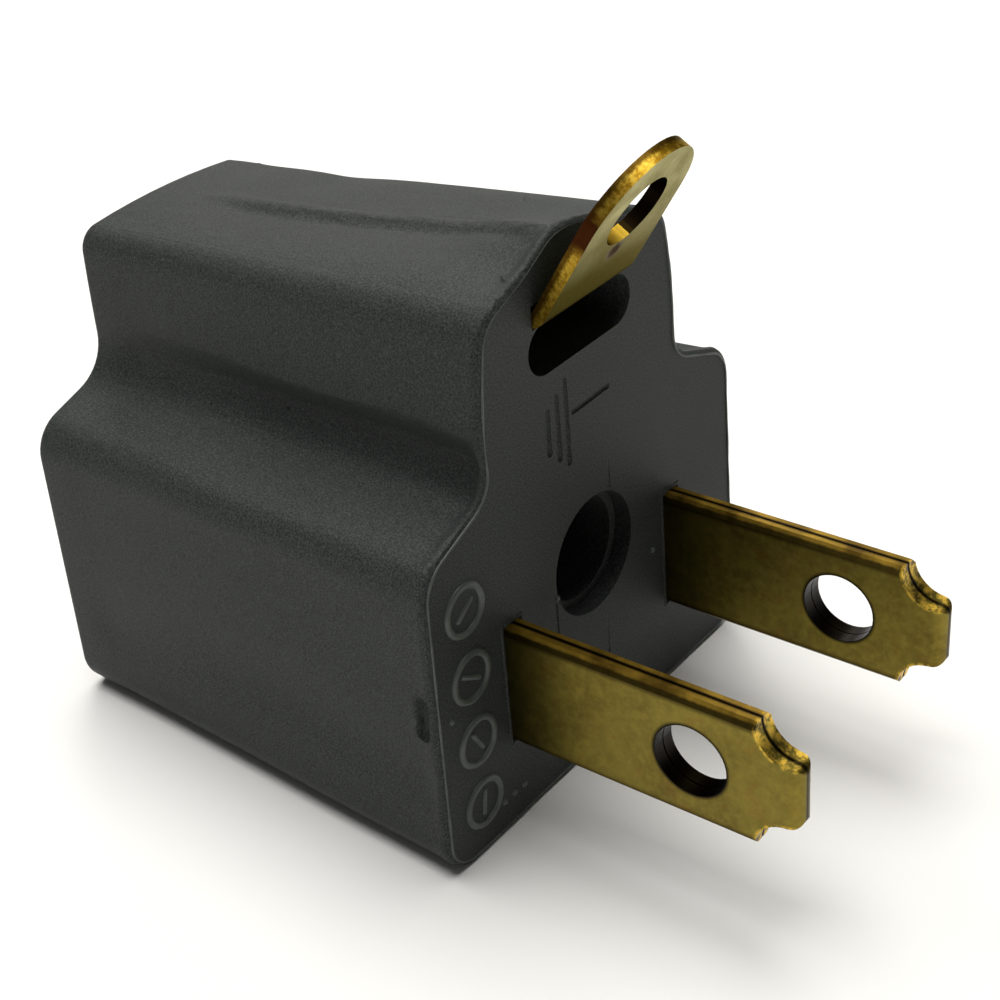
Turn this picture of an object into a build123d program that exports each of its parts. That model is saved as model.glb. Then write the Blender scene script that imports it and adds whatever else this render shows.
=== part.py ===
from build123d import *
import math
import os

# A three-to-two prong grounding adapter. Z is up, towards the earth side, X runs across
# the two blades and the blades point along -Y. The origin is the middle of the blade
# face, half way between the blades. All sizes are millimetres.

# standard layout of the plug and the outlet
blade_pitch = 12.7
blade_width = 6.35
ground_pin_height = 11.9
plug_blade_thickness = 1.5

# folded brass blades
leaf_thickness = 0.62
leaf_seam = 0.08
blade_reach = 14.6
blade_bevel = 0.3
blade_hole_radius = 1.75
blade_hole_from_face = 9.45
nose_notch_radius = 1.65
nose_flank = 0.45
nose_corner_radius = 0.42

# female end of each folded strip, behind the front wall
spread_length = 2.6
spread_half_gap = 1.2
pinch_half_gap = 0.6
pinch_length = 4.2
mouth_half_gap = 1.15
mouth_length = 2.4
leaf_bend_radius = 1.2

# moulded body
body_depth = 25.5
base_height = -7.65
foot_radius = 1.9
foot_trim = 0.05
shoulder_radius = 2.1
front_wall = 3.0
face_edge_radius = 0.3
outlet_edge_radius = 0.2
edge_steps = (0, 45, 90)

# its outline at the blade face, with the crown's heights above the ground pin's axis
face_foot_half_width = 12.15
face_shoulder_half_width = 11.85
face_shoulder_height = 8.4
face_neck_half_width = 7.25
face_neck_root_height = 10.2
face_neck_root_radius = 1.5
face_neck_bulge = 0.3
face_crown_half_width = 6.75
face_crown_rise = 5.7
face_crown_radius = 1.9
face_top_rise = 7.2

# its outline at the outlet end, in the same terms
outlet_foot_half_width = 10.95
outlet_shoulder_half_width = 10.6
outlet_shoulder_height = 7.6
outlet_neck_half_width = 5.75
outlet_neck_root_height = 9.1
outlet_neck_root_radius = 2.4
outlet_neck_bulge = 0.05
outlet_crown_half_width = 5.5
outlet_crown_rise = 4.2
outlet_crown_radius = 1.2
outlet_top_rise = 4.55

# round sunk hole in the blade face
sunk_hole_height = 3.1
sunk_hole_radius = 3.0
sunk_hole_step_depth = 0.9
sunk_hole_step_width = 0.45
sunk_hole_depth = 8.0

# slot below the ground tab
slot_half_width = 3.75
slot_radius = 1.2
slot_depth = 5.0

# ground tab, strap and sleeve, one brass stamping
sheet_thickness = 0.65
tab_half_width = 3.3
tab_lean = 32.0
tab_length = 8.65
tab_hole_radius = 1.75
tab_bend_radius = 1.0
strap_rise = 1.0
strap_overhang = 0.3
strap_lip = 0.35
strap_shoulder = 3.4
strap_neck_half_width = 2.0
joggle_front = 5.2
joggle_back = 7.6
joggle_bend_radius = 0.8
sleeve_bore_radius = 2.45
sleeve_front = 8.6
sleeve_length = 11.0
sleeve_slit = 1.9
sleeve_lead_in = 0.3

# outlet plate, seated in a rebate of the body
rim_thickness = 0.95
plate_thickness = 2.4
plate_slot_clearance = 0.3
plate_lead_in = 0.4
plate_ground_hole_radius = 2.65
plate_edge_radius = 0.2

# clearances
slot_clearance = 0.05
pocket_clearance = 0.12
plate_clearance = 0.08
corner_tolerance = 0.001
corner_share = 0.95

# worked out from the sizes above
blade_thickness = 2 * leaf_thickness + leaf_seam
nose_length = nose_notch_radius + nose_flank
blade_centres = {"line_contact": -blade_pitch / 2, "neutral_contact": blade_pitch / 2}
plate_seat = body_depth - plate_thickness
contact_end = plate_seat - pocket_clearance
pocket_width = 2 * (spread_half_gap + leaf_thickness + pocket_clearance)
pocket_height = blade_width + 2 * pocket_clearance
sleeve_radius = sleeve_bore_radius + sheet_thickness
sleeve_crown = ground_pin_height + sleeve_radius
strap_underside = sleeve_crown + strap_rise
strap_height = strap_underside + sheet_thickness / 2
slot_height = strap_underside - slot_radius
strap_end = sleeve_front + sheet_thickness
lean_across = math.sin(math.radians(tab_lean))
lean_up = math.cos(math.radians(tab_lean))


def section(depth):
    # plane across the body, this far behind the blade face
    return Plane.XZ.offset(-depth)


def waisted_outline(
    depth, inset, foot_half_width, half_width, shoulder, neck, root, root_radius, bulge,
    crown_half_width, crown_rise, crown_radius, top_rise,
):
    # broad lower part for the two blades, narrower neck round the earth side
    slope = math.atan2(root - shoulder, half_width - neck)
    shoulder_drop = inset * (1 - math.sin(slope)) / math.cos(slope)
    foot = base_height - foot_trim + inset
    foot_half_width -= inset
    half_width -= inset
    shoulder -= shoulder_drop
    neck -= inset
    root -= shoulder_drop
    corner_x = crown_half_width - inset
    corner_z = ground_pin_height + crown_rise - inset
    top = ground_pin_height + top_rise - inset
    with BuildSketch(section(depth)) as outline:
        with BuildLine():
            Line((-foot_half_width, foot), (foot_half_width, foot))
            for side in (1, -1):
                Line((side * foot_half_width, foot), (side * half_width, shoulder))
                Line((side * half_width, shoulder), (side * neck, root))
                ThreePointArc(
                    (side * neck, root),
                    (side * ((neck + corner_x) / 2 + bulge), (root + corner_z) / 2),
                    (side * corner_x, corner_z),
                )
            ThreePointArc((corner_x, corner_z), (0, top), (-corner_x, corner_z))
        make_face()
        for height, radius in (
            (foot, foot_radius - inset),
            (shoulder, shoulder_radius - inset),
            (root, root_radius + inset),
            (corner_z, crown_radius - inset),
        ):
            level = (height - corner_tolerance, height + corner_tolerance)
            fillet(outline.vertices().filter_by_position(Axis.Y, *level), radius)
    return outline.sketch


def face_outline(depth, inset):
    return waisted_outline(
        depth, inset, face_foot_half_width, face_shoulder_half_width,
        face_shoulder_height, face_neck_half_width, face_neck_root_height,
        face_neck_root_radius, face_neck_bulge, face_crown_half_width,
        face_crown_rise, face_crown_radius, face_top_rise,
    )


def outlet_outline(depth, inset):
    return waisted_outline(
        depth, inset, outlet_foot_half_width, outlet_shoulder_half_width,
        outlet_shoulder_height, outlet_neck_half_width, outlet_neck_root_height,
        outlet_neck_root_radius, outlet_neck_bulge, outlet_crown_half_width,
        outlet_crown_rise, outlet_crown_radius, outlet_top_rise,
    )


def rounded_edge(outline, radius, end, inwards):
    # outlines that round an end's edge in steps, from the end itself inwards
    turns = [math.radians(step) for step in edge_steps]
    return [
        outline(end + inwards * radius * (1 - math.cos(turn)), radius * (1 - math.sin(turn)))
        for turn in turns
    ]


# Moulded body: one shell, drafted from the blade face back to the outlet end.
with BuildPart() as body:
    face_end = rounded_edge(face_outline, face_edge_radius, 0, 1)
    outlet_end = rounded_edge(outlet_outline, outlet_edge_radius, body_depth, -1)
    loft(face_end + outlet_end[::-1], ruled=True)

    # one true flat to stand on
    split(bisect_by=Plane.XY.offset(base_height), keep=Keep.TOP)

    # rebate that the outlet plate seats in
    rebate = outlet_outline(body_depth, rim_thickness)
    extrude(rebate, amount=plate_thickness, mode=Mode.SUBTRACT)

    # blade slots through the front wall, and a pocket behind each for its female end
    with BuildSketch(section(0)):
        with Locations(*[(x, 0) for x in blade_centres.values()]):
            Rectangle(blade_thickness + 2 * slot_clearance, blade_width + 2 * slot_clearance)
    extrude(amount=-front_wall, mode=Mode.SUBTRACT)
    with BuildSketch(section(front_wall)):
        with Locations(*[(x, 0) for x in blade_centres.values()]):
            Rectangle(pocket_width, pocket_height)
    extrude(amount=-(plate_seat - front_wall), mode=Mode.SUBTRACT)

    # round hole with a shallow step inside its mouth
    with BuildSketch(section(0)):
        with Locations((0, sunk_hole_height)):
            Circle(sunk_hole_radius)
    extrude(amount=-sunk_hole_step_depth, mode=Mode.SUBTRACT)
    with BuildSketch(section(0)):
        with Locations((0, sunk_hole_height)):
            Circle(sunk_hole_radius - sunk_hole_step_width)
    extrude(amount=-sunk_hole_depth, mode=Mode.SUBTRACT)

    # obround slot under the ground strap, and the strap's own way through the wall
    with BuildSketch(section(0)):
        with Locations((0, slot_height)):
            SlotOverall(2 * slot_half_width, 2 * slot_radius)
        with Locations((0, strap_height)):
            Rectangle(
                2 * (tab_half_width + slot_clearance), sheet_thickness + 2 * slot_clearance
            )
    extrude(amount=-slot_depth, mode=Mode.SUBTRACT)
    strap_roof = strap_underside + sheet_thickness + slot_clearance
    lip = body.edges().filter_by(Axis.X).filter_by_position(
        Axis.Z, strap_roof - corner_tolerance, strap_roof + corner_tolerance
    )
    chamfer(lip.sort_by(Axis.Y)[0], strap_lip)

    # channel for the strap's joggle, and the bore round its sleeve
    channel_floor = sleeve_crown - sheet_thickness - pocket_clearance
    with BuildSketch(section(slot_depth)):
        with Locations((0, (channel_floor + strap_roof) / 2)):
            Rectangle(2 * (strap_neck_half_width + pocket_clearance), strap_roof - channel_floor)
    extrude(amount=-(strap_end + pocket_clearance - slot_depth), mode=Mode.SUBTRACT)
    with BuildSketch(section(sleeve_front - pocket_clearance)):
        with Locations((0, ground_pin_height)):
            Circle(sleeve_radius + pocket_clearance)
    extrude(amount=-(plate_seat - sleeve_front + pocket_clearance), mode=Mode.SUBTRACT)


def folded_strip(centre):
    # one brass strip folded at the blade's tip, its two leaves spread into a female end
    spread_start = front_wall + pocket_clearance
    spread_end = spread_start + spread_length
    pinch = contact_end - mouth_length
    fold = leaf_thickness - blade_reach
    half_seam = leaf_seam / 2
    with BuildPart() as strip:
        with BuildSketch(Plane.XY.offset(-blade_width / 2)):
            with BuildLine():
                RadiusArc((centre, fold), (centre + half_seam, fold + half_seam), -half_seam)
                FilletPolyline(
                    (centre + half_seam, fold + half_seam),
                    (centre + half_seam, spread_start),
                    (centre + spread_half_gap, spread_end),
                    (centre + spread_half_gap, pinch - pinch_length),
                    (centre + pinch_half_gap, pinch),
                    (centre + mouth_half_gap, contact_end),
                    radius=leaf_bend_radius,
                )
                offset(amount=leaf_thickness, side=Side.RIGHT)
            make_face()
            mirror(about=Plane.YZ.offset(centre))
        extrude(amount=blade_width)

        # coined bevels along the outer edges of the blade
        with BuildSketch(section(-blade_reach)):
            with Locations((centre, 0)):
                with GridLocations(blade_thickness, blade_width, 2, 2):
                    RegularPolygon(blade_bevel, 4)
        extrude(amount=-(blade_reach + front_wall), mode=Mode.SUBTRACT)

        # notched nose and the round hole, cut through both leaves
        nose_root = nose_length - blade_reach
        nose_half_width = blade_width / 2 - nose_notch_radius
        with BuildSketch(Plane.YZ.offset(centre)) as side_view:
            with Locations((-blade_reach, 0)):
                Rectangle(
                    blade_reach + contact_end, blade_width, align=(Align.MIN, Align.CENTER)
                )
            for side in (-1, 1):
                with Locations((nose_root - nose_notch_radius, side * blade_width / 2)):
                    Circle(nose_notch_radius, mode=Mode.SUBTRACT)
                    Rectangle(
                        nose_length, 2 * nose_notch_radius,
                        align=(Align.MAX, Align.CENTER), mode=Mode.SUBTRACT,
                    )
            nose_corners = side_view.vertices().group_by(Axis.X)[0]
            fillet(nose_corners, min(nose_corner_radius, corner_share * nose_flank))
            with Locations((-blade_hole_from_face, 0)):
                Circle(blade_hole_radius, mode=Mode.SUBTRACT)
        extrude(amount=pocket_width, both=True, mode=Mode.INTERSECT)
    return strip


# The two blades, one folded strip each.
contacts = {name: folded_strip(centre) for name, centre in blade_centres.items()}


# Ground contact: ring tab outside, strap through the wall, sleeve for the ground pin.
tab_foot = Vector(0, -strap_overhang, strap_underside)
tab_direction = Vector(0, -lean_across, lean_up)
ring_centre = tab_foot + tab_direction * (tab_length - tab_half_width)
tab_plane = Plane(ring_centre, x_dir=(1, 0, 0), z_dir=(0, -lean_up, -lean_across))
with BuildPart() as ground_contact:
    sleeve_inside_crown = sleeve_crown - sheet_thickness
    with BuildSketch(Plane.YZ):
        with BuildLine():
            FilletPolyline(
                (strap_end, sleeve_inside_crown),
                (joggle_back, sleeve_inside_crown),
                (joggle_front, strap_underside),
                (-strap_overhang, strap_underside),
                (-strap_overhang - tab_length * lean_across, strap_underside + tab_length * lean_up),
                radius=[joggle_bend_radius, joggle_bend_radius, tab_bend_radius],
            )
            offset(amount=sheet_thickness, side=Side.RIGHT)
        make_face()
    extrude(amount=tab_half_width, both=True)

    # round end and screw hole of the ring tab
    with BuildSketch(tab_plane):
        Rectangle(2 * tab_half_width, tab_half_width, align=(Align.CENTER, Align.MIN))
        Circle(tab_half_width, mode=Mode.SUBTRACT)
        Circle(tab_hole_radius)
    extrude(amount=2 * sheet_thickness, both=True, mode=Mode.SUBTRACT)

    # the strap narrows once it is through the wall
    trim_length = strap_end - strap_shoulder
    with BuildSketch(Plane.XY.offset(strap_underside + sheet_thickness)):
        for side in (-1, 1):
            with Locations((side * (tab_half_width + strap_neck_half_width) / 2, strap_shoulder)):
                Rectangle(
                    tab_half_width - strap_neck_half_width, trim_length,
                    align=(Align.CENTER, Align.MIN),
                )
    trim_depth = strap_underside + sheet_thickness - ground_pin_height
    extrude(amount=-trim_depth, mode=Mode.SUBTRACT)

    # sleeve rolled from the strap's wings, open along its lower side
    with BuildSketch(section(sleeve_front)):
        with Locations((0, ground_pin_height)):
            Circle(sleeve_radius)
            Circle(sleeve_bore_radius, mode=Mode.SUBTRACT)
            Rectangle(
                sleeve_slit, 2 * sleeve_radius, align=(Align.CENTER, Align.MAX), mode=Mode.SUBTRACT
            )
    extrude(amount=-sleeve_length)
    mouth = ground_contact.faces().filter_by(Axis.Y).sort_by(Axis.Y)[-1]
    mouth_edges = mouth.edges().filter_by(GeomType.CIRCLE).sort_by(SortBy.RADIUS)[0:1]
    chamfer(mouth_edges, sleeve_lead_in)


# Outlet plate: closes the body and guides a three-prong plug into the contacts.
with BuildPart() as rear_cover:
    plate_outline = outlet_outline(body_depth, rim_thickness + plate_clearance)
    extrude(plate_outline, amount=plate_thickness)
    fillet(rear_cover.faces().sort_by(Axis.Y)[-1].edges(), plate_edge_radius)
    with BuildSketch(section(body_depth)):
        with Locations(*[(x, 0) for x in blade_centres.values()]):
            Rectangle(
                plug_blade_thickness + 2 * plate_slot_clearance,
                blade_width + 2 * plate_slot_clearance,
            )
        with Locations((0, ground_pin_height)):
            Circle(plate_ground_hole_radius)
    extrude(amount=plate_thickness, mode=Mode.SUBTRACT)
    mouths = rear_cover.faces().sort_by(Axis.Y)[-1].inner_wires()
    chamfer([edge for wire in mouths for edge in wire.edges()], plate_lead_in)


pieces = {
    "body": body,
    "rear_cover": rear_cover,
    "line_contact": contacts["line_contact"],
    "neutral_contact": contacts["neutral_contact"],
    "ground_contact": ground_contact,
}
os.makedirs("parts", exist_ok=True)
for name, piece in pieces.items():
    piece.part.label = name
    export_step(piece.part, f"parts/{name}.step")
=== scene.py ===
import math

import bmesh
import bpy
from mathutils import Matrix, Vector, noise


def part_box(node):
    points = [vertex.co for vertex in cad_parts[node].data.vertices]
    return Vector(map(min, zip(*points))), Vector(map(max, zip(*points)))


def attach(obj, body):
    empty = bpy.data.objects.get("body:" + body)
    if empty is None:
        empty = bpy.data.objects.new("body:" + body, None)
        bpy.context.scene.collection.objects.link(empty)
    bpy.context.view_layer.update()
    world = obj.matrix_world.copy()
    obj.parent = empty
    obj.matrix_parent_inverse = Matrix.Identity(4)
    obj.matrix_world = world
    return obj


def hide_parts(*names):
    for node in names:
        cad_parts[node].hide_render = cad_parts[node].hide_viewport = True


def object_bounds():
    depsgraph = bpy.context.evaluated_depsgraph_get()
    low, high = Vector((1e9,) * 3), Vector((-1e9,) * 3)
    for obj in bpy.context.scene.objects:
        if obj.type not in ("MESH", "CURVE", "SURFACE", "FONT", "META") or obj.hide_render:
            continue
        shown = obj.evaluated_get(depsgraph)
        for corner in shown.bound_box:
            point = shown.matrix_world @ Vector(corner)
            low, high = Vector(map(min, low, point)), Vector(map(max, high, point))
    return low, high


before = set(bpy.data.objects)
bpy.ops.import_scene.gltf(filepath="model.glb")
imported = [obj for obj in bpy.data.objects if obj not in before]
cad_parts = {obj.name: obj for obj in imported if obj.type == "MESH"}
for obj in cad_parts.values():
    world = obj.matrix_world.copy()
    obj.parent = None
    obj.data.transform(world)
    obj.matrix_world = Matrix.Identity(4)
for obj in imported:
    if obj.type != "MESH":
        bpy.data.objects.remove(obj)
cad_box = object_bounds()


# Housing. Soft vinyl, injection moulded in one shot, with the contacts put in from behind. The
# thick neck and shoulders shrank as they cooled, which left long shallow sinks down both flanks
# and a ridge along the crown, over the strap of the ground contact.
mm = 0.001
cell = 0.45 * mm
outer_skin_x = 9.2 * mm
neck_floor_z = 5.0 * mm
neck_skin_x = 4.5 * mm
crown_front_z = 17.9 * mm
crown_fall = 2.7 / 25.5
capsule_sides = 12
capsule_steps = 6

# how deep each sink is, in millimetres
neck_sink = 0.62
crease_lip = 0.16
flank_sink = 0.14
near_crown_sink = 0.34
far_crown_sink = 0.3
far_crown_dip = 0.12
even_shrink = 0.06
uneven_shrink = 0.08

# where the crease under the neck, the foot of the flank, the ridge and the dip run, in millimetres
crease_front_z = 12.55
crease_fall = 0.035
flank_foot_z = -4.6
ridge_x = -0.35
ridge_front_shift = 1.0
dip_y = 17.3
dip_half_length = 2.2

# the swell of the crown over the slot of the tab, in millimetres
swell_height = 0.75
swell_x = -1.3
swell_near_width = 1.7
swell_far_width = 3.0


def smooth(value, low, high):
    t = min(1.0, max(0.0, (value - low) / (high - low)))
    return t * t * (3 - 2 * t)


def lip(distance, sharp, soft):
    # a dip that starts short behind a line and runs out slowly
    return smooth(distance, 0, sharp) * (1 - smooth(distance, sharp, soft))


def on_outer_skin(point):
    crown_z = crown_front_z - crown_fall * point.y
    neck = point.z > neck_floor_z and abs(point.x) > neck_skin_x
    return abs(point.x) > outer_skin_x or neck or point.z > crown_z


def sink_depth(point):
    # how far the skin has drawn in at this point, from each long sink and a slow unevenness
    x, y, z = point / mm
    below = crease_front_z - crease_fall * y + 0.12 * math.sin(y / 2.4) - z
    neck = neck_sink * smooth(below, 0, 1.5) * (1 - smooth(below, 2.2, 4.3))
    neck += crease_lip * lip(below, 0.3, 2.0)
    neck *= 1 - 0.75 * smooth(y, 11.0, 21.0)
    flank = flank_sink * lip(z - flank_foot_z - 0.8 * math.sin(y / 6.0), 2.2, 5.5)
    ridge = ridge_x + 0.12 * math.sin(y / 2.6) - ridge_front_shift * (1 - smooth(y, 0.0, 5.0))
    crown = near_crown_sink * lip(ridge - x, 0.7, 5.0) + far_crown_sink * lip(x - ridge, 1.1, 5.0)
    crown += far_crown_dip * math.exp(-((y - dip_y) / dip_half_length) ** 2) * smooth(x, 1.5, 3.5)
    crown *= smooth(z, 15.2, 16.2) * (1 - smooth(y, 17.0, 22.5))
    slow = uneven_shrink * noise.noise(Vector((x / 5, y / 9, z / 4)))
    along = smooth(y, 0.0, 1.0) * (1 - smooth(y, 22.0, 24.5))
    return (neck + flank + crown + even_shrink + slow) * along * mm


def crown_swell(point):
    # the crown stands a little high over the tab's slot, where the ridge meets the blade face
    x, y, z = point / mm
    width = swell_near_width if x < swell_x else swell_far_width
    across = math.exp(-((x - swell_x) / width) ** 2)
    return swell_height * across * (1 - smooth(y, 0.6, 6.5)) * smooth(z, 17.5, 17.9) * mm


def capsule(mesh, start, end, radius):
    # a rounded bar from one point to another, made upright and turned to its run
    start, end = Vector(start) * mm, Vector(end) * mm
    run = end - start
    turn = run.to_track_quat("Z", "Y").to_matrix()
    rings = []
    for step in range(capsule_steps + 1):
        polar = math.pi * step / capsule_steps
        width = radius * mm * math.sin(polar)
        height = radius * mm * math.cos(polar)
        if 2 * step < capsule_steps:
            height += run.length
        sides = 1 if step in (0, capsule_steps) else capsule_sides
        turns = [2 * math.pi * k / capsule_sides for k in range(sides)]
        points = [Vector((width * math.cos(t), width * math.sin(t), height)) for t in turns]
        rings.append([mesh.verts.new(start + turn @ point) for point in points])
    for upper, lower in zip(rings, rings[1:]):
        for k in range(capsule_sides):
            after = (k + 1) % capsule_sides
            corners = (
                upper[k % len(upper)], lower[k % len(lower)],
                lower[after % len(lower)], upper[after % len(upper)],
            )
            mesh.faces.new(list(dict.fromkeys(corners)))


# what the mould or its handling cut into the skin: the earth sign, three short witness lines
# round the sunk hole, and the dent that the gate left behind the near edge of the face
sign_bar_radius = 0.19
sign_stem_radius = 0.17
sign_depth = -0.05
witness_radius = 0.1
witness_depth = -0.03
dent_radius = 0.42
cutters = bmesh.new()
for x, low_z, high_z in ((-1.4, 8.7, 12.7), (-2.05, 9.2, 12.2), (-2.75, 9.8, 11.8)):
    capsule(cutters, (x, sign_depth, low_z), (x, sign_depth, high_z), sign_bar_radius)
capsule(cutters, (-0.9, sign_depth, 11.0), (1.7, sign_depth, 11.0), sign_stem_radius)
for low_x, low_z, high_x, high_z in (
    (1.45, 5.95, 1.4, 7.5),
    (-3.1, 0.3, -3.1, 2.1),
    (0.75, -2.9, 0.7, -0.6),
):
    capsule(cutters, (low_x, witness_depth, low_z), (high_x, witness_depth, high_z), witness_radius)
capsule(cutters, (-12.06, 0.75, 0.45), (-12.0, 0.65, 1.9), dent_radius)
cutter_mesh = bpy.data.meshes.new("cutters")
cutters.to_mesh(cutter_mesh)
cutters.free()
cutter = bpy.data.objects.new("cutters", cutter_mesh)
cut_body = bpy.data.objects.new("cut_body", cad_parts["body"].data.copy())
for piece in (cutter, cut_body):
    bpy.context.scene.collection.objects.link(piece)
cut = cut_body.modifiers.new("cut", "BOOLEAN")
cut.object = cutter
cut.solver = "EXACT"
cut.use_self = True
bpy.context.view_layer.update()
evaluated = cut_body.evaluated_get(bpy.context.evaluated_depsgraph_get())
shell = bmesh.new()
shell.from_mesh(evaluated.to_mesh())
for piece in (cutter, cut_body):
    bpy.data.objects.remove(piece)

# the outer skin is cut into small cells, so that the sinks can be pressed in
bmesh.ops.remove_doubles(shell, verts=shell.verts, dist=1e-6)
low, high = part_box("body")
for axis in range(3):
    steps = int((high[axis] - low[axis]) / cell)
    across = Vector()
    across[axis] = 1
    for step in range(1, steps):
        place = low + across * (high[axis] - low[axis]) * step / steps
        shell.normal_update()
        sides = [face for face in shell.faces if abs(face.normal.y) < 0.95]
        skin = [face for face in sides if on_outer_skin(face.calc_center_median())]
        # each edge and point once, always in the same order, so that every run gives one mesh
        edges = list(dict.fromkeys(edge for face in skin for edge in face.edges))
        points = list(dict.fromkeys(vertex for face in skin for vertex in face.verts))
        geometry = skin + edges + points
        bmesh.ops.bisect_plane(shell, geom=geometry, plane_co=place, plane_no=across, dist=1e-7)
bmesh.ops.remove_doubles(shell, verts=shell.verts, dist=0.01 * mm)
shell.normal_update()
for vertex in shell.verts:
    if abs(vertex.normal.y) < 0.5 and on_outer_skin(vertex.co):
        vertex.co -= vertex.normal * max(0.0, sink_depth(vertex.co))
    vertex.co.z += crown_swell(vertex.co)
housing_mesh = bpy.data.meshes.new("housing")
shell.to_mesh(housing_mesh)
shell.free()
# the moulding's corners are soft to the eye, and the two end faces are flat
housing_mesh.shade_smooth()
housing_mesh.set_sharp_from_angle(angle=math.radians(35))
for polygon in housing_mesh.polygons:
    polygon.use_smooth = abs(polygon.normal.y) < 0.999
housing = bpy.data.objects.new("housing", housing_mesh)
bpy.context.scene.collection.objects.link(housing)


def linear(hex_colour):
    # an sRGB hex colour as linear red, green, blue and alpha
    channels = [int(hex_colour[i:i + 2], 16) / 255 for i in (1, 3, 5)]
    return [c / 12.92 if c <= 0.04045 else ((c + 0.055) / 1.055) ** 2.4 for c in channels] + [1.0]


def feed(tree, node, inputs):
    # each input gets a value, a hex colour or the socket that feeds it
    for name, value in inputs.items():
        if isinstance(value, bpy.types.NodeSocket):
            tree.links.new(value, node.inputs[name])
        else:
            node.inputs[name].default_value = linear(value) if isinstance(value, str) else value


def add(tree, kind, inputs, output=None, **settings):
    # one node with its settings and links, and the output that is named, or its first in use
    node = tree.nodes.new("ShaderNode" + kind)
    for name, value in settings.items():
        setattr(node, name, value)
    feed(tree, node, inputs)
    return node.outputs[output] if output else next(s for s in node.outputs if s.enabled)


def laid_over(tree, under, over, follows, start, full, most=1.0):
    # the second colour covers the first as a value goes from start to full, up to a largest share
    share = add(tree, "MapRange", {
        "Value": follows, "From Min": start, "From Max": full, "To Max": most,
    })
    return add(tree, "Mix", {"Factor": share, "A": under, "B": over}, data_type="RGBA")


def per_metre(size_in_mm):
    # texture scale whose features are about this large
    return 1000 / size_in_mm


def start_material(name):
    # an empty material with its shader, and coordinates in metres on the part
    material = bpy.data.materials.new(name)
    material.use_nodes = True
    tree = material.node_tree
    shader = tree.nodes["Principled BSDF"]
    place = add(tree, "TexCoord", {}, "Object")
    return material, tree, shader, place


# Moulded vinyl: a dark grey skin with the fine even grain of a spark-eroded mould, blotched
# a little where it cooled unevenly. Vinyl's index is 1.53, and the grain keeps it matte. Such
# a grain is finer in truth, and is drawn at this size so that it shows.
grain_size = 0.09
blotch_size = 7.0
vinyl_index = 1.53
vinyl, tree, shader, place = start_material("moulded_vinyl")
blotch = add(tree, "TexNoise", {
    "Vector": place, "Scale": per_metre(blotch_size),
    "Detail": 4.0, "Roughness": 0.65, "Distortion": 0.6,
})
grain = add(tree, "TexNoise", {
    "Vector": place, "Scale": per_metre(grain_size), "Detail": 2.0, "Roughness": 0.8,
})
tone = laid_over(tree, "#131716", "#202423", blotch, 0.0, 1.0)
feed(tree, shader, {
    "Base Color": laid_over(tree, tone, "#494d4b", grain, 0.38, 0.72),
    "Roughness": add(tree, "MapRange", {"Value": grain, "To Min": 0.5, "To Max": 0.72}),
    "IOR": vinyl_index,
    "Specular IOR Level": 0.2,
    "Normal": add(tree, "Bump", {"Height": grain, "Distance": 0.02 * mm, "Strength": 0.6}),
})

housing_mesh.materials.clear()
housing_mesh.materials.append(vinyl)
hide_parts("body")
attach(housing, "root")


# Flash and mould marks on the blade face. The mould halves part along the edge of the face and
# leave a thin uneven bead there. The raised marks are cut into the mould: date dials, each a
# ring with a pointer, a row of cavity dots, and a few specks where the steel was nicked.
bead_step = 0.4 * mm
bead_radius = 0.06 * mm
tube_sides = 6
face_mesh = bmesh.new()
face_mesh.from_mesh(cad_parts["body"].data)
bmesh.ops.remove_doubles(face_mesh, verts=face_mesh.verts, dist=1e-6)


def on_blade_face(face):
    return all(abs(vertex.co.y) < 1e-6 for vertex in face.verts)


def closed_tube(mesh, path):
    # a tube round a loop in the blade face, from each point with its outward side and radius
    into_face = Vector((0, 1, 0))
    turns = [2 * math.pi * k / tube_sides for k in range(tube_sides)]
    loops = []
    for point, outward, radius in path:
        sides = [outward * math.cos(t) + into_face * math.sin(t) for t in turns]
        loops.append([mesh.verts.new(point + side * radius) for side in sides])
    for loop, following in zip(loops, loops[1:] + loops[:1]):
        for k in range(tube_sides):
            after = (k + 1) % tube_sides
            mesh.faces.new((loop[k], loop[after], following[after], following[k]))


# the rim is walked once round, and the bead follows it, thinner on the crown
rim_edges = [e for e in face_mesh.edges if sum(on_blade_face(f) for f in e.link_faces) == 1]
corner = max((v for e in rim_edges for v in e.verts), key=lambda v: v.co.x)
rim, last_edge = [corner.co.copy()], None
while True:
    last_edge = next(e for e in corner.link_edges if e in rim_edges and e is not last_edge)
    corner = last_edge.other_vert(corner)
    if (corner.co - rim[0]).length < 1e-6:
        break
    rim.append(corner.co.copy())
face_mesh.free()
route = []
for start, end in zip(rim, rim[1:] + rim[:1]):
    pieces = max(1, round((end - start).length / bead_step))
    route += [start.lerp(end, i / pieces) for i in range(pieces)]
bead = []
for i, point in enumerate(route):
    run = (route[(i + 1) % len(route)] - route[i - 1]).normalized()
    thick = bead_radius * (1.0 + 0.6 * noise.noise(point / (1.3 * mm)))
    thick *= 1 - 0.8 * smooth(point.z, 15.5 * mm, 17.5 * mm)
    lifted = point + Vector((0, 0, crown_swell(point)))
    bead.append((lifted, run.cross(Vector((0, 1, 0))), thick))
marks = bmesh.new()
closed_tube(marks, bead)

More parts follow.
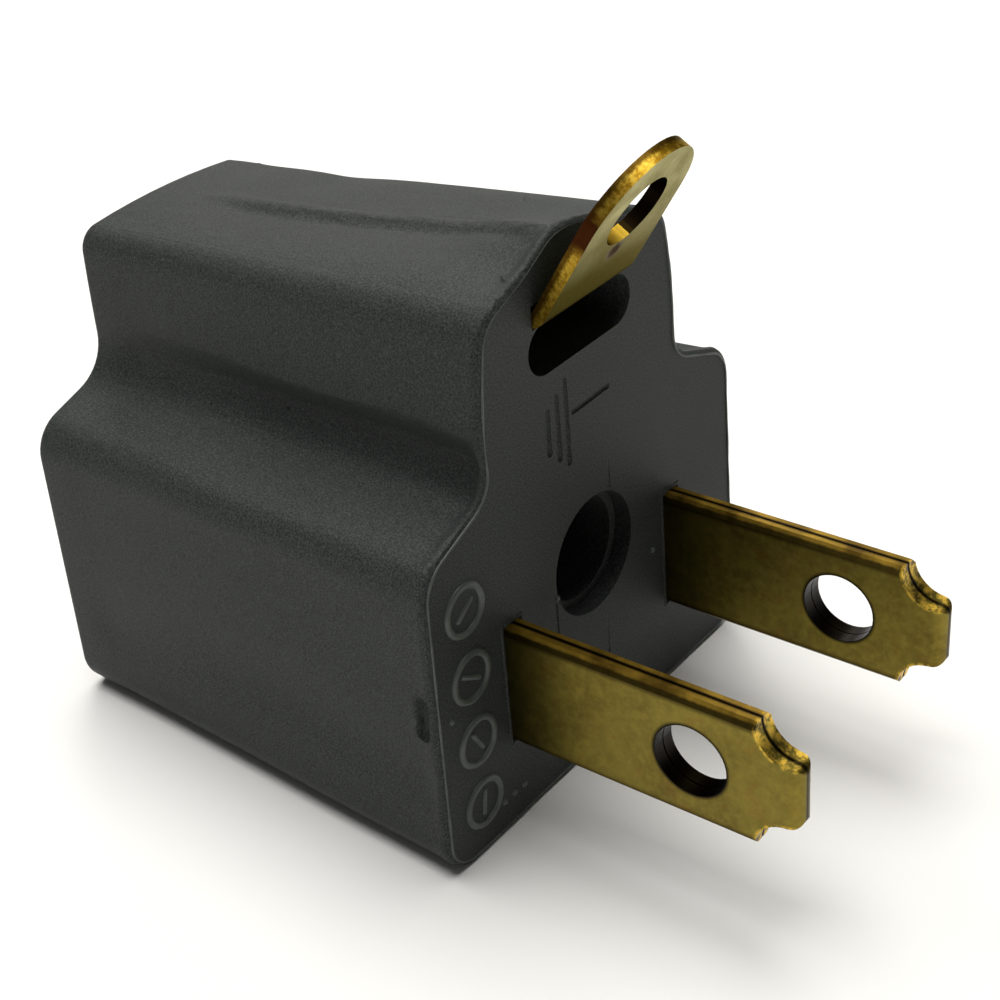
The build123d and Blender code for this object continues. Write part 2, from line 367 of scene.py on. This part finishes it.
dial_x = -9.35
dial_radius = 1.15
dial_line = 0.2
dial_depth = 0.05
dial_segments = 40
pointer_reach = 0.55
pointer_radius = 0.16
for dial_z, pointer_turn in ((5.6, 35), (2.1, 150), (-1.4, -60), (-4.9, 80)):
    centre = Vector((dial_x, dial_depth, dial_z))
    turns = [2 * math.pi * i / dial_segments for i in range(dial_segments)]
    spokes = [Vector((math.cos(t), 0, math.sin(t))) for t in turns]
    closed_tube(marks, [
        ((centre + spoke * dial_radius) * mm, spoke, dial_line * mm) for spoke in spokes
    ])
    turn = math.radians(pointer_turn)
    reach = Vector((math.cos(turn), 0, math.sin(turn))) * pointer_reach
    capsule(marks, centre - reach, centre + reach, pointer_radius)
dot_radius = 0.2
for dot_x in (-8.0, -7.25, -6.5):
    capsule(marks, (dot_x, 0.07, -5.9), (dot_x, 0.08, -5.9), dot_radius)
nick_radius = 0.16
for x, z in ((-3.0, 2.4), (4.7, 0.6), (-10.9, 0.7)):
    capsule(marks, (x, 0.05, z), (x, 0.06, z), nick_radius)


def moulded(mesh, name, material):
    # a closed piece of the same moulding as the housing
    bmesh.ops.recalc_face_normals(mesh, faces=mesh.faces)
    data = bpy.data.meshes.new(name)
    mesh.to_mesh(data)
    mesh.free()
    data.shade_smooth()
    data.materials.append(material)
    piece = bpy.data.objects.new(name, data)
    bpy.context.scene.collection.objects.link(piece)
    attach(piece, "root")


# the same vinyl, rubbed a little paler where it stands proud; the paler colour is partly wear and
# partly a painted highlight on the raised bead and marks
rubbed_and_highlit, tree, shader, place = start_material("rubbed_and_highlit_vinyl")
wear_and_highlight = add(tree, "TexNoise", {"Vector": place, "Scale": per_metre(0.8), "Detail": 3.0})
feed(tree, shader, {
    "Base Color": laid_over(tree, "#282c2a", "#565d58", wear_and_highlight, 0.0, 1.0),
    "IOR": vinyl_index,
    "Roughness": 0.5,
})
moulded(marks, "mould_marks", rubbed_and_highlit)

# the vinyl creeps up the roots of the blades in a small collar
blade_centre = 6.35
collar_half_width = 0.7
collar_half_height = 3.2
collar_radius = 0.12
collars = bmesh.new()
for root_x in (-blade_centre, blade_centre):
    corners = [
        (root_x + i * collar_half_width, 0.06, j * collar_half_height)
        for i, j in ((-1, -1), (1, -1), (1, 1), (-1, 1))
    ]
    for start, end in zip(corners, corners[1:] + corners[:1]):
        capsule(collars, start, end, collar_radius)
moulded(collars, "blade_collars", vinyl)


# Outlet plate. A separate vinyl moulding, welded into the back of the housing, with the two
# blade slots and the ground hole. It has the same grain as the housing.
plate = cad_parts["rear_cover"]
plate.data.materials.clear()
plate.data.materials.append(vinyl)


# Blades. Each is one strip of rolled brass folded at the nose, pierced and coined in a
# progression die. Handling has tarnished the faces to olive brown, darkest in the seam; the root
# is painted darker as painted shadow over some tarnish, and the pierced hole black as painted
# shade. The coined edges are rubbed bright and carry a painted highlight, with painted shade on
# the bevel inside them and painted glints at the notches.
blade_half_width = 3.175 * mm
hole_y = -9.45 * mm
hole_radius = 1.75 * mm
notch_y = -14.15 * mm
notch_radius = 1.65 * mm
brass_blade, tree, shader, place = start_material("tarnished_rolled_brass")
side, along, high = add(tree, "SeparateXYZ", {"Vector": place}).node.outputs
from_centre = add(tree, "Math", {0: side}, operation="ABSOLUTE")
across = add(tree, "Math", {0: from_centre, 1: blade_centre * mm}, operation="SUBTRACT")
from_seam = add(tree, "Math", {0: across}, operation="ABSOLUTE")
from_middle = add(tree, "Math", {0: high}, operation="ABSOLUTE")
past_hole = add(tree, "Math", {0: along, 1: hole_y}, operation="SUBTRACT")
from_hole = add(tree, "CombineXYZ", {"X": past_hole, "Y": high})
from_hole = add(tree, "VectorMath", {0: from_hole}, operation="LENGTH")
past_notch = add(tree, "Math", {0: along, 1: notch_y}, operation="SUBTRACT")
from_edge = add(tree, "Math", {0: from_middle, 1: blade_half_width}, operation="SUBTRACT")
from_notch = add(tree, "CombineXYZ", {"X": past_notch, "Y": from_edge})
from_notch = add(tree, "VectorMath", {0: from_notch}, operation="LENGTH")
cloud, mottle, flecks = [
    add(tree, "TexNoise", {
        "Vector": place, "Scale": per_metre(size), "Detail": detail, "Roughness": roughness,
    })
    for size, detail, roughness in ((3.0, 4.0, 0.6), (0.45, 3.0, 0.7), (1.1, 3.0, 0.7))
]

# olive with yellower clouds and reddish flecks, darker at the root as painted shadow over some
# tarnish, painted shade on the bevel inside the edge, the edge worn bright with a painted
# highlight, painted glints at the notches, painted shade in the hole, and dirt in the seam
tone = laid_over(tree, "#685a25", "#7f7230", cloud, 0.35, 0.65)
tone = laid_over(tree, tone, "#94843a", mottle, 0.4, 0.9)
tone = laid_over(tree, tone, "#7d4f22", flecks, 0.55, 0.75, 0.4)
# darker at the root: painted shadow near the body, over some real tarnish
tone = laid_over(tree, tone, "#2e2c14", along, -3.4 * mm, -0.2 * mm, 0.75)
# painted shade on the bevel inside each edge, a darker olive band
bevel_shade_start, bevel_shade_full = blade_half_width - 0.55 * mm, blade_half_width - 0.32 * mm
tone = laid_over(tree, tone, "#33280f", from_middle, bevel_shade_start, bevel_shade_full, 0.85)
wavy = add(tree, "Math", {0: mottle, 1: 0.08 * mm, 2: from_middle}, operation="MULTIPLY_ADD")
edge_start, edge_full = blade_half_width - 0.12 * mm, blade_half_width - 0.05 * mm
# the edge is worn bright, and made brighter still as a painted highlight
worn_and_highlit_edge = laid_over(tree, "#6e5620", "#bb983a", cloud, 0.4, 0.62)
tone = laid_over(tree, tone, worn_and_highlit_edge, wavy, edge_start, edge_full)
# painted glints on the rims of the notches
glint = add(tree, "MapRange", {"Value": mottle, "From Min": 0.42, "From Max": 0.6})
glint_start, glint_full = notch_radius + 0.16 * mm, notch_radius + 0.03 * mm
tone = laid_over(tree, tone, "#e8c04a", from_notch, glint_start, glint_full, glint)
# painted shade: the pierced hole is painted near black, a little past its rim
hole_shade_start, hole_shade_full = hole_radius + 0.2 * mm, hole_radius + 0.03 * mm
tone = laid_over(tree, tone, "#120d05", from_hole, hole_shade_start, hole_shade_full)
tone = laid_over(tree, tone, "#1a1308", from_seam, 0.16 * mm, 0.07 * mm, 0.92)

# the roll's lines run along the strip; the real ones are finer, and these are drawn to show
rolling = add(tree, "Mapping", {"Vector": place, "Scale": (1.0, 0.08, 1.0)})
roll_lines = add(tree, "TexNoise", {
    "Vector": rolling, "Scale": per_metre(0.12), "Detail": 2.0, "Roughness": 0.6,
})
feed(tree, shader, {
    "Base Color": tone,
    "Metallic": 1.0,
    "Roughness": add(tree, "MapRange", {"Value": mottle, "To Min": 0.3, "To Max": 0.5}),
    "Normal": add(tree, "Bump", {"Height": roll_lines, "Distance": 0.01 * mm, "Strength": 0.3}),
})
for name in ("line_contact", "neutral_contact"):
    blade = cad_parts[name]
    blade.data.materials.clear()
    blade.data.materials.append(brass_blade)


# Ground tab. Cut and bent from thinner half-hard brass; its faces are dull and pale, its
# sheared edges keep a bright golden colour, and fingers have left brown tarnish on both.
tab_lean = math.radians(32.0)
ring_place = (0.0, -2.86 * mm, 20.71 * mm)
tab_hole_radius = 1.75 * mm
spot_drop = 2.25 * mm
brass_tab, tree, shader, place = start_material("sheared_sheet_brass")
sheet_normal = Vector((0.0, -math.cos(tab_lean), -math.sin(tab_lean)))
sheet_up = Vector((0.0, -math.sin(tab_lean), math.cos(tab_lean)))
from_ring = add(tree, "VectorMath", {0: place, 1: ring_place}, operation="SUBTRACT")
ring_side = add(tree, "SeparateXYZ", {"Vector": from_ring}, "X")
ring_up = add(tree, "VectorMath", {0: from_ring, 1: sheet_up}, operation="DOT_PRODUCT")
from_hole = add(tree, "CombineXYZ", {"X": ring_side, "Y": ring_up})
from_hole = add(tree, "VectorMath", {0: from_hole}, operation="LENGTH")
cloud, mottle, stain = [
    add(tree, "TexNoise", {
        "Vector": place, "Scale": per_metre(size), "Detail": detail, "Roughness": roughness,
    })
    for size, detail, roughness in ((1.6, 4.0, 0.6), (0.3, 3.0, 0.7), (2.2, 2.0, 0.6))
]

# the faces are pale brass, darker towards the slot, with one brown spot under the ring
above_spot = add(tree, "Math", {0: ring_up, 1: spot_drop}, operation="ADD")
from_spot = add(tree, "CombineXYZ", {"X": ring_side, "Y": above_spot})
from_spot = add(tree, "VectorMath", {0: from_spot}, operation="LENGTH")
spot_edge = add(tree, "Math", {0: mottle, 1: 0.5 * mm, 2: from_spot}, operation="MULTIPLY_ADD")
spot_start, spot_full = 0.9 * mm, 0.5 * mm
face_tone = laid_over(tree, "#857f5c", "#b2ad88", cloud, 0.35, 0.65)
face_tone = laid_over(tree, face_tone, "#4b4220", ring_up, 1.0 * mm, -3.4 * mm)
face_tone = laid_over(tree, face_tone, "#3a2410", spot_edge, spot_start, spot_full)

# a sheared edge is bright where the punch burnished it, and dull brown where it broke, behind;
# a stain goes round it at the ring's foot, and the bore is painted black as painted shade, with a
# painted highlight where its wall faces up
through = add(tree, "VectorMath", {0: from_ring, 1: sheet_normal}, operation="DOT_PRODUCT")
through = add(tree, "Math", {0: mottle, 1: 0.2 * mm, 2: through}, operation="MULTIPLY_ADD")
stained = add(tree, "MapRange", {"Value": stain, "From Min": 0.36, "From Max": 0.5})
stained = add(tree, "MapRange", {
    "Value": ring_up, "From Min": 1.6 * mm, "From Max": 0.7 * mm, "To Max": stained,
})
normal = add(tree, "NewGeometry", {}, "True Normal")
upward = add(tree, "VectorMath", {0: normal, 1: sheet_up}, operation="DOT_PRODUCT")
# painted shade and painted highlight in the ring's bore: black, and golden where the wall faces up
bore_shade_and_highlight = laid_over(tree, "#171007", "#e0b840", upward, 0.9, 0.99)
bore_start, bore_full = tab_hole_radius + 0.06 * mm, tab_hole_radius + 0.02 * mm
edge_tone = laid_over(tree, "#a27a1e", "#e2bd48", mottle, 0.4, 0.65)
edge_tone = laid_over(tree, edge_tone, "#452d0e", through, 0.14 * mm, -0.06 * mm, 0.85)
edge_tone = laid_over(tree, edge_tone, "#3a1d0c", ring_up, -1.4 * mm, -0.5 * mm, stained)
edge_tone = laid_over(tree, edge_tone, bore_shade_and_highlight, from_hole, bore_start, bore_full)

# where the brown oxide lies thick, no metal shows; sheet that has dulled reflects little at a
# slant, which the tint says
facing = add(tree, "VectorMath", {0: normal, 1: sheet_normal}, operation="DOT_PRODUCT")
facing = add(tree, "Math", {0: facing}, operation="ABSOLUTE")
on_face = add(tree, "MapRange", {"Value": facing, "From Min": 0.5, "From Max": 0.85})
oxide = add(tree, "MapRange", {
    "Value": spot_edge, "From Min": spot_start, "From Max": spot_full, "To Max": on_face,
})
polish = add(tree, "MapRange", {"Value": mottle, "To Min": 0.32, "To Max": 0.5})
feed(tree, shader, {
    "Base Color": laid_over(tree, edge_tone, face_tone, on_face, 0.0, 1.0),
    "Metallic": add(tree, "MapRange", {"Value": oxide, "To Min": 1.0, "To Max": 0.1}),
    "Specular Tint": "#dad5b9",
    "Roughness": add(tree, "Math", {0: polish, 1: oxide}, operation="MAXIMUM"),
    "Normal": add(tree, "Bump", {"Height": mottle, "Distance": 0.01 * mm, "Strength": 0.3}),
})
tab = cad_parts["ground_contact"]
tab.data.materials.clear()
tab.data.materials.append(brass_tab)


# Table top and studio. A plain pale sheet under the part, one large soft light high overhead
# and a weak low one on the far side, so that what faces the camera is lit by the table alone.
floor_half = 2.0
underside = cad_box[0].z
floor_mesh = bpy.data.meshes.new("floor")
corners = [
    (x * floor_half, y * floor_half, underside) for x, y in ((-1, -1), (1, -1), (1, 1), (-1, 1))
]
floor_mesh.from_pydata(corners, [], [(0, 1, 2, 3)])
floor = bpy.data.objects.new("floor", floor_mesh)
bpy.context.scene.collection.objects.link(floor)

# the lamps don't reach the far table, which is drawn as bright as the near one
paper, tree, shader, place = start_material("white_paper")
from_part = add(tree, "VectorMath", {0: place}, operation="LENGTH")
feed(tree, shader, {
    "Base Color": "#f4f4f2",
    "Roughness": 0.9,
    "Emission Color": "#ffffff",
    "Emission Strength": add(tree, "MapRange", {
        "Value": from_part, "From Min": 0.2, "From Max": 0.9,
    }),
})
floor_mesh.materials.append(paper)

# a dim tent that is a little brighter overhead, and white where it is the backdrop itself
sky = bpy.data.worlds.new("light_tent")
sky.use_nodes = True
tree = sky.node_tree
direction = add(tree, "TexCoord", {}, "Generated")
height = add(tree, "SeparateXYZ", {"Vector": direction}, "Z")
glow = add(tree, "MapRange", {
    "Value": height, "From Min": 0.0, "From Max": 0.9, "To Min": 0.04, "To Max": 0.12,
})
backdrop = add(tree, "LightPath", {}, "Is Camera Ray")
feed(tree, tree.nodes["Background"], {
    "Color": "#ffffff",
    "Strength": add(tree, "Math", {0: glow, 1: backdrop}, operation="MAXIMUM"),
})
bpy.context.scene.world = sky
bpy.context.scene.view_settings.view_transform = "Standard"

for name, place_m, size, watts, colour in (
    ("overhead", (0.06, 0.16, 0.90), 0.9, 11.5, "#fffdfa"),
    ("far_side", (0.50, 0.50, 0.42), 0.3, 1.2, "#fffaf2"),
):
    light = bpy.data.lights.new(name, "AREA")
    light.shape = "DISK"
    light.size = size
    light.energy = watts
    light.color = linear(colour)[:3]
    lamp = bpy.data.objects.new(name, light)
    lamp.location = place_m
    lamp.rotation_mode = "QUATERNION"
    lamp.rotation_quaternion = Vector(place_m).to_track_quat("Z", "Y")
    bpy.context.scene.collection.objects.link(lamp)


# Camera, at the angle that the picture was taken from: near, above and to the left.
azimuth = math.radians(-49.30)
elevation = math.radians(31.44)
roll = math.radians(-5.61)
distance = 85.36 * mm
aim = Vector((-1.0, 5.78, 4.92)) * mm
back = Vector((
    math.sin(azimuth) * math.cos(elevation),
    -math.cos(azimuth) * math.cos(elevation),
    math.sin(elevation),
))
level = (-back).cross(Vector((0, 0, 1))).normalized()
upright = level.cross(-back)
right = level * math.cos(roll) + upright * math.sin(roll)
up = upright * math.cos(roll) - level * math.sin(roll)
lens = bpy.data.cameras.new("camera")
lens.lens = 65.77
lens.shift_x = 0.0215
lens.shift_y = -0.0037
lens.clip_start = 1 * mm
camera = bpy.data.objects.new("camera", lens)
camera.matrix_world = Matrix.Translation(aim + back * distance) @ Matrix(
    (right, up, back)
).transposed().to_4x4()
bpy.context.scene.collection.objects.link(camera)
bpy.context.scene.camera = camera
